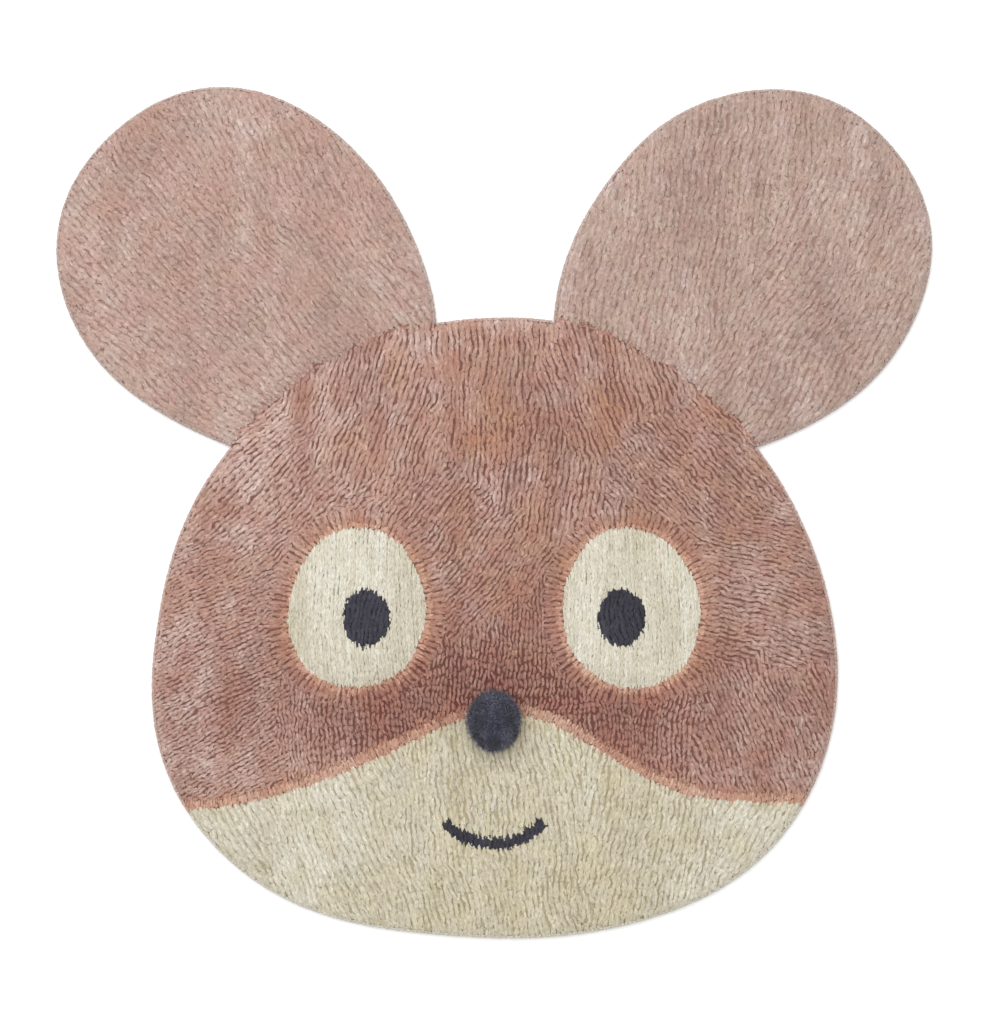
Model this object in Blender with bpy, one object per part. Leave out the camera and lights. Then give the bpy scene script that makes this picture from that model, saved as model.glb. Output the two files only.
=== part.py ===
"""An animal shaped kids rug: a mouse's head in tufted cut pile, with a yarn pompom sewn on for its nose.

Metres, +Z up. The rug lies flat on Z = 0 with its ears towards +Y. The origin is the middle of its box, at
the underside. The mat is one solid with a turned-down rim and carved lines, and the pompom is a second one.
"""

import math

import bmesh
import bpy
import numpy as np
from mathutils import Vector, noise
from mathutils.geometry import delaunay_2d_cdt

# The mat's section, from the floor to the cut ends of the yarn
PILE_TOP = 0.0150
RIM_EDGE_Z = 0.0045  # height of the widest line of the rim
RIM_WIDE = 0.0170  # how far in from the rim the pile has turned down
FOOT_STEPS = ((0.0012, 0.0016), (0.0050, 0.0))  # (inset, height) from the widest line down to the flat foot
SWELL = 0.0008  # slow unevenness of the top
SWELL_PITCH = 0.065

# Tufted fields, each a round shape about its own middle. A power of 2 is an ellipse, more is fuller.
# taper narrows a shape towards its top, lean turns it clockwise in degrees, and wander is the unevenness
# of a hand-cut edge, as rows of (share of the radius, waves, phase).
SHAPES = {
    "head": {
        "middle": (0.0, -0.1455), "half_wide": 0.4260, "half_tall": 0.3900, "power": 2.20,
        "taper": 0.150, "lean": 0.0, "wander": ((0.0035, 5, 0.7), (0.0022, 9, 2.1)),
    },
    "ear_right": {
        "middle": (0.3056, 0.2931), "half_wide": 0.2060, "half_tall": 0.2560, "power": 2.10,
        "taper": -0.090, "lean": 48.0, "wander": ((0.0060, 4, 1.9), (0.0030, 7, 0.4)),
    },
    "ear_left": {
        "middle": (-0.3048, 0.2931), "half_wide": 0.2060, "half_tall": 0.2560, "power": 2.10,
        "taper": -0.090, "lean": -48.0, "wander": ((0.0060, 3, 0.2), (0.0034, 6, 2.6)),
    },
    "eye_right": {
        "middle": (0.1720, -0.1200), "half_wide": 0.0850, "half_tall": 0.0990, "power": 2.10,
        "taper": 0.040, "lean": -8.0, "wander": ((0.0120, 4, 0.9), (0.0080, 7, 1.7)),
    },
    "eye_left": {
        "middle": (-0.1720, -0.1200), "half_wide": 0.0850, "half_tall": 0.0990, "power": 2.10,
        "taper": 0.040, "lean": 8.0, "wander": ((0.0120, 3, 2.2), (0.0080, 6, 0.3)),
    },
    "pupil_right": {
        "middle": (0.1600, -0.1320), "half_wide": 0.0300, "half_tall": 0.0360, "power": 2.10,
        "taper": 0.0, "lean": 0.0, "wander": ((0.0200, 4, 0.5),),
    },
    "pupil_left": {
        "middle": (-0.1600, -0.1320), "half_wide": 0.0300, "half_tall": 0.0360, "power": 2.10,
        "taper": 0.0, "lean": 0.0, "wander": ((0.0200, 3, 1.5),),
    },
}
BODY_SHAPES = ("head", "ear_right", "ear_left")
EAR_AIMS = {"ear_right": (45.0, -44.0), "ear_left": (135.0, 44.0)}  # degrees on the head, then to its side

# The muzzle's upper line: a low band with one round hump under the nose
MUZZLE = {"side_y": -0.372, "hump": 0.118, "hump_half_wide": 0.185, "wander": 0.004, "waves": 21.0}

# The mouth: one short smile of dark yarn
MOUTH = {"middle": (0.0, -0.3300), "radius": 0.0850, "half_angle": 47.0, "line_wide": 0.0150}

# Carved lines: depth and half-width of the shears' cut
CARVED = {
    "seam": {"depth": 0.0050, "half_wide": 0.0100},
    "eye": {"depth": 0.0030, "half_wide": 0.0085},
    "muzzle": {"depth": 0.0030, "half_wide": 0.0085},
}
CARVED_ROWS = (0.0, -1.0, 1.0, -2.0, 2.0)  # rows of points along a carved line, in half-widths

# The pompom and the hollow that it presses into the pile
POMPOM = {
    "middle": (0.0, -0.2600), "half_wide": 0.0340, "half_long": 0.0370, "half_tall": 0.0340,
    "flat_share": 0.80, "cuts": 5, "lock": 0.0040,
}
CLEAR = 0.0003  # gap between touching pieces
NEST_FLOOR = 0.0080  # height of the pressed pile
NEST_WIDE = 0.0270  # radius of the hollow's floor
NEST_EDGE = 0.0130  # width of its slope
NEST_ROWS = ((0.0, 1), (NEST_WIDE / 2, 7), (NEST_WIDE, 14), (NEST_WIDE + NEST_EDGE, 20))  # (radius, points)

# Spacing of the mesh
EDGE_STEP = 0.0150
LINE_STEP = 0.0130
LATTICE = 0.0250
RIM_ROWS = (0.0022, 0.0068, 0.0135, 0.0240)  # rows of points, in from the rim
ROW_CLEAR = 0.0060  # from the last rim row to the first point of a carved line
LINE_CLEAR = 0.0065  # between the rows of one carved line and other points
LATTICE_CLEAR = 0.0150  # between the lattice and the rows
NEST_CLEAR = 0.0040  # between the hollow's rim and the points round it
DOT_CLEAR = 0.0035  # between the edge of a dark motif and other points
ROW_KEPT = 0.93  # a rim row's point goes where the outline folds in nearer than this share of its inset
CURVE_STEPS = 720
DARK_STEPS = 20  # points round a pupil
SMILE_STEPS = 15  # points along each side of the mouth
ANGLE_STEP = 1e-9  # how closely an ear's corner on the head is found, in radians
WELD = 1e-7
CREASE = 50.0  # degrees, past which an edge is shaded sharp

# Yarn colours (linear)
COLOURS = {
    "head_wool": (0.390, 0.226, 0.180),
    "ear_wool": (0.480, 0.340, 0.290),
    "cream_wool": (0.640, 0.570, 0.420),
    "dark_wool": (0.030, 0.030, 0.043),
    "pompom_yarn": (0.058, 0.058, 0.078),
}
PILE_YARNS = ("head_wool", "ear_wool", "cream_wool", "dark_wool")
WOOL_ROUGHNESS = 0.95


def wool(name):
    """A dull wool of the named colour."""
    made = bpy.data.materials.new(name)
    made.use_nodes = True
    surface = made.node_tree.nodes["Principled BSDF"]
    surface.inputs["Base Color"].default_value = (*COLOURS[name], 1.0)
    surface.inputs["Roughness"].default_value = WOOL_ROUGHNESS
    surface.inputs["Metallic"].default_value = 0.0
    return made


def radius(shape, angle):
    """How far a shape reaches from its middle, at an angle in its own upright frame."""
    half_wide = shape["half_wide"] * (1 - shape["taper"] * math.sin(angle))
    across = abs(math.cos(angle) / half_wide) ** shape["power"]
    along = abs(math.sin(angle) / shape["half_tall"]) ** shape["power"]
    reach = (across + along) ** (-1 / shape["power"])
    for share, waves, phase in shape["wander"]:
        reach *= 1 + share * math.sin(waves * angle + phase)
    return reach


def point(shape, angle):
    """The point of a shape's edge at an angle in its own frame."""
    turned = angle - math.radians(shape["lean"])
    reach = radius(shape, angle)
    return (shape["middle"][0] + reach * math.cos(turned), shape["middle"][1] + reach * math.sin(turned))


def own_angle(shape, place):
    """The angle of a place in a shape's own frame."""
    middle = shape["middle"]
    return math.atan2(place[1] - middle[1], place[0] - middle[0]) + math.radians(shape["lean"])


def inside(shape, place):
    """Whether a place lies in a shape."""
    return math.dist(place, shape["middle"]) < radius(shape, own_angle(shape, place))


def arc(shape, start, end, steps=CURVE_STEPS):
    """Points along a shape's edge from one angle to another, both ends included."""
    return [point(shape, start + (end - start) * i / steps) for i in range(steps + 1)]


def crossing(shape, other, inner, outer):
    """The angle where a shape's edge leaves another shape, between an angle inside it and one outside it."""
    while abs(outer - inner) > ANGLE_STEP:
        middle = (inner + outer) / 2
        if inside(other, point(shape, middle)):
            inner = middle
        else:
            outer = middle
    return inner


def ear_roots(name):
    """Head angles where an ear's edge meets the head's: at the side of the head and at the crown."""
    aim, side = (math.radians(angle) for angle in EAR_AIMS[name])
    return tuple(crossing(SHAPES["head"], SHAPES[name], aim, aim + turn) for turn in (side, -side))


def ear_arc(name, first, last):
    """The part of an ear's edge outside the head, anticlockwise, from one angle on the head to another."""
    ear = SHAPES[name]
    start = own_angle(ear, point(SHAPES["head"], first))
    end = own_angle(ear, point(SHAPES["head"], last))
    while end <= start:
        end += 2 * math.pi
    return arc(ear, start, end)


def evenly(points, step, closed=False):
    """The same line with its points about one step apart."""
    points = np.array(points + points[:1] if closed else points)
    lengths = np.concatenate([[0.0], np.cumsum(np.hypot(*np.diff(points, axis=0).T))])
    places = np.linspace(0.0, lengths[-1], round(lengths[-1] / step) + 1)
    if closed:
        places = places[:-1]
    return np.stack([np.interp(places, lengths, points[:, axis]) for axis in (0, 1)], axis=1)


def outline():
    """The rug's outline, anticlockwise: the head with both ears, as one closed line."""
    right_side, right_crown = ear_roots("ear_right")
    left_side, left_crown = ear_roots("ear_left")
    line = ear_arc("ear_right", right_side, right_crown)
    line += arc(SHAPES["head"], right_crown, left_crown)[1:]
    line += ear_arc("ear_left", left_crown, left_side)[1:]
    line += arc(SHAPES["head"], left_side, right_side + 2 * math.pi)[1:-1]
    return evenly(line, EDGE_STEP, closed=True)


def muzzle_y(x):
    """Y of the muzzle's upper line at x."""
    spread = x / MUZZLE["hump_half_wide"]
    uneven = MUZZLE["wander"] * math.sin(MUZZLE["waves"] * x)
    return MUZZLE["side_y"] + MUZZLE["hump"] * math.exp(-spread * spread) + uneven


def muzzle_line():
    """The muzzle's upper line, from cheek to cheek."""
    head = SHAPES["head"]
    line = [(x, muzzle_y(x)) for x in np.linspace(-head["half_wide"], head["half_wide"], CURVE_STEPS)]
    return evenly([place for place in line if inside(head, place)], LINE_STEP)


def mouth_loop():
    """The edge of the smile: an arc of even width."""
    turns = np.radians(np.linspace(-MOUTH["half_angle"], MOUTH["half_angle"], SMILE_STEPS))
    sides = []
    for side in (1, -1):
        reach = MOUTH["radius"] + side * MOUTH["line_wide"] / 2
        sides.append(MOUTH["middle"] + reach * np.stack([np.sin(turns * side), -np.cos(turns)], axis=1))
    return np.concatenate(sides)


def carved_lines():
    """Every carved line as (kind, points): the ears' seams, the eyes' edges and the muzzle's upper line."""
    lines = []
    for name in ("ear_right", "ear_left"):
        lines.append(("seam", evenly(arc(SHAPES["head"], *ear_roots(name)), LINE_STEP)))
    for name in ("eye_right", "eye_left"):
        lines.append(("eye", evenly(arc(SHAPES[name], 0.0, 2 * math.pi)[:-1], LINE_STEP, closed=True)))
    lines.append(("muzzle", muzzle_line()))
    return lines


def distance(places, line, closed):
    """The shortest way from each place to a line of points."""
    ends = np.roll(line, -1, axis=0)
    starts = line if closed else line[:-1]
    ends = ends if closed else ends[:-1]
    along = ends - starts
    gaps = places[:, None, :] - starts[None]
    share = np.clip((gaps * along[None]).sum(2) / (along * along).sum(1), 0.0, 1.0)
    return np.hypot(*(gaps - share[..., None] * along[None]).transpose(2, 0, 1)).min(1)


def normals(line, closed):
    """The unit vector to the left of a line at each of its points."""
    if closed:
        along = np.roll(line, -1, axis=0) - np.roll(line, 1, axis=0)
    else:
        along = np.gradient(line, axis=0)
    across = np.stack([-along[:, 1], along[:, 0]], axis=1)
    return across / np.hypot(*across.T)[:, None]


def apart(places, others, gap):
    """Those of the places that lie further than the gap from every one of the others."""
    return places[np.hypot(*(places[:, None] - others[None]).transpose(2, 0, 1)).min(1) > gap]


def heights(places, edge, lines):
    """The top of the pile at each place: slow swell, carved lines, the hollow under the nose and the rim."""
    swell = np.array([noise.noise(Vector((x, y, 0.0)) / SWELL_PITCH) for x, y in places])
    top = PILE_TOP + SWELL * (swell - 1)
    for kind, line in lines:
        gap = distance(places, line, kind == "eye") / CARVED[kind]["half_wide"]
        top = top - CARVED[kind]["depth"] * np.exp(-gap * gap)
    from_nose = np.hypot(*(places - np.array(POMPOM["middle"])).T)
    risen = np.clip((from_nose - NEST_WIDE) / NEST_EDGE, 0.0, 1.0)
    top = NEST_FLOOR + (top - NEST_FLOOR) * risen
    turned = 1 - np.clip(distance(places, edge, True) / RIM_WIDE, 0.0, 1.0)
    return RIM_EDGE_Z + (top - RIM_EDGE_Z) * np.sqrt(1 - turned**2)


def lattice(edge):
    """An even triangular lattice over the rug, clear of its rim rows."""
    low, high = edge.min(0), edge.max(0)
    places = []
    for row, y in enumerate(np.arange(low[1], high[1], LATTICE * math.sqrt(3) / 2)):
        for x in np.arange(low[0] + (row % 2) * LATTICE / 2, high[0], LATTICE):
            if any(inside(SHAPES[name], (x, y)) for name in BODY_SHAPES):
                places.append((x, y))
    places = np.array(places)
    return places[distance(places, edge, True) > RIM_ROWS[-1] + LATTICE / 2]


def sheet_points(edge, lines):
    """Points of the mat's top: rows along the rim and the carved lines, the nest, and a lattice between."""
    inward = normals(edge, True)
    kept = edge
    for inset in RIM_ROWS:
        row = edge + inward * inset
        kept = np.concatenate([kept, row[distance(row, edge, True) > ROW_KEPT * inset]])
    for kind, line in lines:
        across = normals(line, kind == "eye") * CARVED[kind]["half_wide"]
        for side in CARVED_ROWS:
            row = line + across * side
            row = row[distance(row, edge, True) > RIM_ROWS[-1] + ROW_CLEAR]
            kept = np.concatenate([kept, apart(row, kept, LINE_CLEAR)])
    nose = np.array(POMPOM["middle"])
    kept = kept[np.hypot(*(kept - nose).T) > NEST_WIDE + NEST_EDGE + NEST_CLEAR]
    for reach, count in NEST_ROWS:
        turns = np.arange(count) * 2 * math.pi / count
        kept = np.concatenate([kept, nose + reach * np.stack([np.cos(turns), np.sin(turns)], axis=1)])
    return np.concatenate([kept, apart(lattice(edge), kept, LATTICE_CLEAR)])


def yarn_at(x, y):
    """Name of the yarn at a place."""
    place = (x, y)
    if inside(SHAPES["pupil_right"], place) or inside(SHAPES["pupil_left"], place):
        return "dark_wool"
    if inside(SHAPES["eye_right"], place) or inside(SHAPES["eye_left"], place):
        return "cream_wool"
    reach = math.dist(place, MOUTH["middle"])
    turn = math.degrees(math.atan2(x - MOUTH["middle"][0], MOUTH["middle"][1] - y))
    if abs(reach - MOUTH["radius"]) < MOUTH["line_wide"] / 2 and abs(turn) < MOUTH["half_angle"]:
        return "dark_wool"
    if not inside(SHAPES["head"], place):
        return "ear_wool"
    return "cream_wool" if y < muzzle_y(x) else "head_wool"


def make_sheet(edge, lines):
    """A triangulated sheet at the pile's height, whose faces part along the rim and the dark motifs."""
    loops = [edge, mouth_loop()]
    for name in ("pupil_right", "pupil_left"):
        loops.append(np.array(arc(SHAPES[name], 0.0, 2 * math.pi, DARK_STEPS)[:-1]))
    places = sheet_points(edge, lines)[len(edge):]
    for loop in loops[1:]:
        places = apart(places, loop, DOT_CLEAR)
    borders = []
    for loop in loops:
        start = len(borders)
        borders += [(start + i, start + (i + 1) % len(loop)) for i in range(len(loop))]
    corners = [Vector(place) for place in np.concatenate([*loops, places])]
    corners, _, faces, *_ = delaunay_2d_cdt(corners, borders, [], 1, WELD)
    sheet = bmesh.new()
    tops = heights(np.array(corners), edge, lines)
    verts = [sheet.verts.new((corner.x, corner.y, top)) for corner, top in zip(corners, tops)]
    for face in faces:
        made = sheet.faces.new([verts[i] for i in face])
        middle = made.calc_center_median()
        made.material_index = PILE_YARNS.index(yarn_at(middle.x, middle.y))
    return sheet


def make_rug(collection):
    """The tufted mat: the sheet of its top, a rounded rim below it and a flat underside."""
    edge = outline()
    rug = make_sheet(edge, carved_lines())
    inward = normals(edge, True)
    for inset, height in FOOT_STEPS:
        rim = [side for side in rug.edges if side.is_boundary]
        new = bmesh.ops.extrude_edge_only(rug, edges=rim)["geom"]
        for vert in (item for item in new if isinstance(item, bmesh.types.BMVert)):
            nearest = int(np.argmin(np.hypot(*(edge - np.array(vert.co[:2])).T)))
            vert.co = (*(edge[nearest] + inward[nearest] * inset), height)
    bmesh.ops.triangle_fill(rug, use_beauty=True, edges=[side for side in rug.edges if side.is_boundary])
    bmesh.ops.recalc_face_normals(rug, faces=rug.faces)
    return add_object("rug", rug, PILE_YARNS, collection)


def make_pompom(collection):
    """The pompom: short four-sided locks on one core, pressed flat where it lies in the pile."""
    ball = bmesh.new()
    bmesh.ops.create_cube(ball, size=2.0)
    bmesh.ops.subdivide_edges(ball, edges=ball.edges, cuts=POMPOM["cuts"], use_grid_fill=True)
    core = Vector([POMPOM[side] - POMPOM["lock"] for side in ("half_wide", "half_long", "half_tall")])
    for vert in ball.verts:
        even = Vector([math.tan(c * math.pi / 4) for c in vert.co]).normalized()
        vert.co = even * core
    flat = -core.z * POMPOM["flat_share"]
    standing = [face for face in ball.faces if min(vert.co.z for vert in face.verts) > flat]
    bmesh.ops.poke(ball, faces=standing, offset=POMPOM["lock"])
    for vert in ball.verts:
        vert.co.z = max(vert.co.z, flat)
    bmesh.ops.recalc_face_normals(ball, faces=ball.faces)
    pompom = add_object("nose_pompom", ball, ("pompom_yarn",), collection)
    pompom.location = (*POMPOM["middle"], NEST_FLOOR + CLEAR - flat)
    return pompom


def add_object(name, shape, yarns, collection):
    """A smooth-shaded object from a finished shape and the names of its yarns."""
    mesh = bpy.data.meshes.new(name)
    shape.to_mesh(mesh)
    shape.free()
    for yarn in yarns:
        mesh.materials.append(wool(yarn))
    mesh.shade_smooth()
    mesh.set_sharp_from_angle(angle=math.radians(CREASE))
    made = bpy.data.objects.new(name, mesh)
    collection.objects.link(made)
    return made


def main():
    """Clears the scene and makes the rug."""
    for old in list(bpy.data.objects):
        bpy.data.objects.remove(old)
    collection = bpy.data.collections.new("animal shaped kids rug")
    bpy.context.scene.collection.children.link(collection)
    make_rug(collection)
    make_pompom(collection)


main()
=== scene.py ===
# Looks of the animal shaped kids rug: a mouse's head in tufted cut pile, with a yarn pompom for its nose.
# Metres, +Z up, ears towards +Y. Each lock of the pile is a small closed mesh, narrow at its foot, with a
# sheared end. The locks stand in rows, three to a ridge, and the partings between ridges open and close.

import math
from functools import partial

import bmesh
import bpy
import numpy as np
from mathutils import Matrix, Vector
from mathutils.bvhtree import BVHTree
from mathutils.geometry import delaunay_2d_cdt
from numpy.random import default_rng


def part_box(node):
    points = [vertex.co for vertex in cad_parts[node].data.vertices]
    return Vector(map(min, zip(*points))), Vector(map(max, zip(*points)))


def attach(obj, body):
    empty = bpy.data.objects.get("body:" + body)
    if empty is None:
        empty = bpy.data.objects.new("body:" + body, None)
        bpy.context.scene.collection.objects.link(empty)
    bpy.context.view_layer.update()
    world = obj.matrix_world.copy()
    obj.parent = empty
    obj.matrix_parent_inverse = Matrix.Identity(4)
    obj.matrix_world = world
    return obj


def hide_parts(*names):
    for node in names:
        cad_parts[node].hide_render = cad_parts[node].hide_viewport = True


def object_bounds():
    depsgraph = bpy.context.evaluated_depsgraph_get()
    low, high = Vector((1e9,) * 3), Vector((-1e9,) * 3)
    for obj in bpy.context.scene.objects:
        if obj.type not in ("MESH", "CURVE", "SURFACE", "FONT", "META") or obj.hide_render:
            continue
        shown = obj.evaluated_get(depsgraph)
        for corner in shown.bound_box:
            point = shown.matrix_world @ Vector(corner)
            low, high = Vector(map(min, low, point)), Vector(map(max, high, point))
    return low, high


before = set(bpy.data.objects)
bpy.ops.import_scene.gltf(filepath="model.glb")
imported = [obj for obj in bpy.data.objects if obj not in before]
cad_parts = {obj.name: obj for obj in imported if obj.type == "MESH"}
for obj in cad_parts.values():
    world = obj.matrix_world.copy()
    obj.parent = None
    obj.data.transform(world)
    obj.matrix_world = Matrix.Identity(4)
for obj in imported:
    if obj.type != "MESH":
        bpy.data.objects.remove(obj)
cadBox = [list(corner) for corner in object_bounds()]
mm = 0.001

# The tufted fields, as the rug was drawn: round shapes about their own middles. A power of 2 is an
# ellipse, taper narrows it towards its top, lean turns it clockwise, wander is (share, waves, phase).
shapeColumns = ("middle", "halfWide", "halfTall", "power", "taper", "lean", "wander")
fieldShapes = {name: dict(zip(shapeColumns, row)) for name, row in {
    "head": ((0.0, -0.1455), 0.426, 0.390, 2.2, 0.15, 0.0, ((0.0035, 5, 0.7), (0.0022, 9, 2.1))),
    "earRight": ((0.3056, 0.2931), 0.206, 0.256, 2.1, -0.09, 48.0, ((0.0060, 4, 1.9), (0.0030, 7, 0.4))),
    "earLeft": ((-0.3048, 0.2931), 0.206, 0.256, 2.1, -0.09, -48.0, ((0.0060, 3, 0.2), (0.0034, 6, 2.6))),
    "eyeRight": ((0.172, -0.120), 0.085, 0.099, 2.1, 0.04, -8.0, ((0.012, 4, 0.9), (0.008, 7, 1.7))),
    "eyeLeft": ((-0.172, -0.120), 0.085, 0.099, 2.1, 0.04, 8.0, ((0.012, 3, 2.2), (0.008, 6, 0.3))),
    "pupilRight": ((0.160, -0.132), 0.030, 0.036, 2.1, 0.0, 0.0, ((0.02, 4, 0.5),)),
    "pupilLeft": ((-0.160, -0.132), 0.030, 0.036, 2.1, 0.0, 0.0, ((0.02, 3, 1.5),)),
}.items()}
bodyShapes = ("head", "earRight", "earLeft")
eyes = ("eyeLeft", "eyeRight")
muzzleEdge = {
    "sideY": -0.372, "hump": 0.118, "humpHalfWide": 0.185, "wander": 0.004, "waves": 21, "reach": 0.45,
}
mouthArc = {"middle": (0.0, -0.33), "radius": 0.085, "halfAngle": 47.0, "lineWide": 0.015}
drawnSteps = {"ring": 3000, "muzzle": 2000, "mouth": 200}  # points along each line before they are evened out
borderWide = {  # rows of orange-pink wool, and rows of head wool along the carved seams of the ears
    "eye": 10 * mm, "muzzle": 13 * mm, "seam": 4.5 * mm,
    "seamGaps": 5 * mm, "seamPitch": 14 * mm, "seamBias": 0.2,  # gaps that cut into the seams' rows
    "calm": 0.6,  # how ragged the edges of muzzle and eyes are, of the other edges
    "fade": 7 * mm,  # how far the orange pink fades into the head wool
}
haloWide = 15 * mm  # head wool brushed outwards round the eyes' borders


def fromHex(hexColour):
    # a colour in sRGB, turned to linear
    parts = [int(hexColour[i:i + 2], 16) / 255 for i in (1, 3, 5)]
    return tuple(c / 12.92 if c <= 0.04045 else ((c + 0.055) / 1.055) ** 2.4 for c in parts) + (1.0,)


def softNoise(places, pitch, seed):
    # smooth unevenness from -1 to 1 over the floor plan
    cells = 64
    grid = default_rng(seed).uniform(-1, 1, (cells, cells))
    spots = places / pitch + cells / 2
    low = np.floor(spots).astype(int)
    part = spots - low
    part = part * part * (3 - 2 * part)
    i, j = (low % cells).T
    iNext, jNext = (i + 1) % cells, (j + 1) % cells
    near = grid[i, j] * (1 - part[:, 0]) + grid[iNext, j] * part[:, 0]
    far = grid[i, jNext] * (1 - part[:, 0]) + grid[iNext, jNext] * part[:, 0]
    return near * (1 - part[:, 1]) + far * part[:, 1]


def unit(vectors):
    return vectors / np.maximum(np.linalg.norm(vectors, axis=1), 1e-12)[:, None]


def leftOf(ways):
    return np.stack([-ways[:, 1], ways[:, 0]], 1)


def drift(places, pitch, seed):
    # smooth unevenness both ways in the plan
    return np.stack([softNoise(places, pitch, seed), softNoise(places, pitch, seed + 1)], 1)


def only(rows, mine):
    return {key: value[mine] for key, value in rows.items()}


def joined(parts):
    return {key: np.concatenate([part[key] for part in parts]) for key in parts[0]}


def facesIn(pieces):
    return sum(len(piece.data.polygons) for piece in pieces)


def reachAt(shape, angle):
    halfWide = shape["halfWide"] * (1 - shape["taper"] * np.sin(angle))
    across = np.abs(np.cos(angle) / halfWide) ** shape["power"]
    along = np.abs(np.sin(angle) / shape["halfTall"]) ** shape["power"]
    reach = (across + along) ** (-1 / shape["power"])
    for share, waves, phase in shape["wander"]:
        reach = reach * (1 + share * np.sin(waves * angle + phase))
    return reach


def depthIn(name, places):
    # how far inside a shape's edge each place lies, in metres
    shape = fieldShapes[name]
    gap = places - np.array(shape["middle"])
    angle = np.arctan2(gap[:, 1], gap[:, 0]) + math.radians(shape["lean"])
    return reachAt(shape, angle) - np.hypot(*gap.T)


def depthInRug(places):
    return np.max([depthIn(name, places) for name in bodyShapes], axis=0)


def muzzleTop(x):
    # height and slope of the muzzle's upper edge
    hump = muzzleEdge["hump"] * np.exp(-(x / muzzleEdge["humpHalfWide"]) ** 2)
    slope = -2 * x / muzzleEdge["humpHalfWide"] ** 2 * hump
    return muzzleEdge["sideY"] + hump + muzzleEdge["wander"] * np.sin(muzzleEdge["waves"] * x), slope


def aboveMuzzle(places):
    edge, slope = muzzleTop(places[:, 0])
    return (places[:, 1] - edge) / np.hypot(1, slope)


def depthInMouth(places):
    gap = places - np.array(mouthArc["middle"])
    turn = np.degrees(np.arctan2(gap[:, 0], -gap[:, 1]))
    within = mouthArc["lineWide"] / 2 - np.abs(np.hypot(*gap.T) - mouthArc["radius"])
    past = np.radians(np.abs(turn) - mouthArc["halfAngle"]) * mouthArc["radius"]
    return np.minimum(within, -past)


def outOf(depth, places):
    # unit vector in the plan that points out of a shape, from how its depth changes
    rise = [depth(places + step) - depth(places - step) for step in np.eye(2) * 0.5 * mm]
    return unit(-np.stack(rise, axis=1))


def fieldOf(places, ragged=0.0):
    # name of the yarn field at each place; ragged moves each lock's own view of the edges a little
    found = np.full(len(places), "none", dtype="<U12")
    outHead = -depthIn("head", places)
    found[outHead < 0] = "head"
    gaps = borderWide["seamGaps"] * (softNoise(places, borderWide["seamPitch"], 61) + borderWide["seamBias"])
    for ear in ("earRight", "earLeft"):
        inEar = (depthIn(ear, places) > 0) & (outHead >= 0)
        found[inEar] = ear
        found[inEar & (outHead + ragged + gaps < borderWide["seam"])] = "seamRows"
    calm = ragged * borderWide["calm"]
    above = aboveMuzzle(places) + calm
    inHead = found == "head"
    found[inHead & (above < borderWide["muzzle"])] = "muzzleRows"
    found[inHead & (above < 0)] = "muzzle"
    for eye in eyes:
        depth = depthIn(eye, places) + calm
        found[(depth > -borderWide["eye"] - haloWide) & (found == "head")] = eye + "Halo"
        found[(depth > -borderWide["eye"]) & (depth <= 0)] = eye + "Rows"
        found[depth > 0] = eye
    for pupil in ("pupilRight", "pupilLeft"):
        found[depthIn(pupil, places) + ragged > 0] = pupil
    found[depthInMouth(places) + ragged > 0] = "mouth"
    return found


def woolOf(field):
    if field.endswith("Rows") and field != "seamRows":
        return "border"
    if field == "head" or field.endswith(("Halo", "Rows")):
        return "head"
    if field in ("muzzle", *eyes):
        return "cream"
    return "ear" if field.startswith("ear") else "dark"


def onHead(field):
    return (field == "head") | np.char.endswith(field, "Halo")


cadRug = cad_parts["rug"]
cadTree = BVHTree.FromPolygons(
    [vertex.co for vertex in cadRug.data.vertices], [tuple(face.vertices) for face in cadRug.data.polygons]
)


def cadTop(places):
    # height of the solid rug's upper side, and 0 where a place is off it
    tops = []
    for x, y in places:
        hit = cadTree.ray_cast(Vector((x, y, 1.0)), Vector((0, 0, -1)))
        tops.append(hit[0].z if hit[0] else 0.0)
    return np.array(tops)


def evenly(points, step):
    lengths = np.concatenate([[0.0], np.cumsum(np.hypot(*np.diff(points, axis=0).T))])
    places = np.linspace(0.0, lengths[-1], round(lengths[-1] / step) + 1)[:-1]
    return np.stack([np.interp(places, lengths, points[:, axis]) for axis in (0, 1)], axis=1)


def ringOf(name, step, outset=0.0):
    # points round a shape, this far out from its edge
    shape = fieldShapes[name]
    angle = np.linspace(0, 2 * math.pi, drawnSteps["ring"])
    turned = angle - math.radians(shape["lean"])
    ways = np.stack([np.cos(turned), np.sin(turned)], 1)
    return evenly(np.array(shape["middle"]) + (reachAt(shape, angle) + outset)[:, None] * ways, step)


def edgePoints(step, inset=0.0):
    # points along the rug's outline, this far in from it
    found = []
    for name in bodyShapes:
        ring = ringOf(name, step, -inset)
        others = [depthIn(other, ring) for other in bodyShapes if other != name]
        found.append(ring[np.max(others, axis=0) < inset])
    return np.concatenate(found)


def muzzleLine(step):
    x = np.linspace(-muzzleEdge["reach"], muzzleEdge["reach"], drawnSteps["muzzle"])
    return evenly(np.stack([x, muzzleTop(x)[0]], 1), step)


def mouthRing(step):
    # the smile's outline, out along its lower side and back along its upper one
    turn = np.radians(np.linspace(-mouthArc["halfAngle"], mouthArc["halfAngle"], drawnSteps["mouth"]))
    way = np.stack([np.sin(turn), -np.cos(turn)], 1)
    outer = way * (mouthArc["radius"] + mouthArc["lineWide"] / 2)
    inner = way[::-1] * (mouthArc["radius"] - mouthArc["lineWide"] / 2)
    return evenly(np.array(mouthArc["middle"]) + np.concatenate([outer, inner, outer[:1]]), step)


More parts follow.
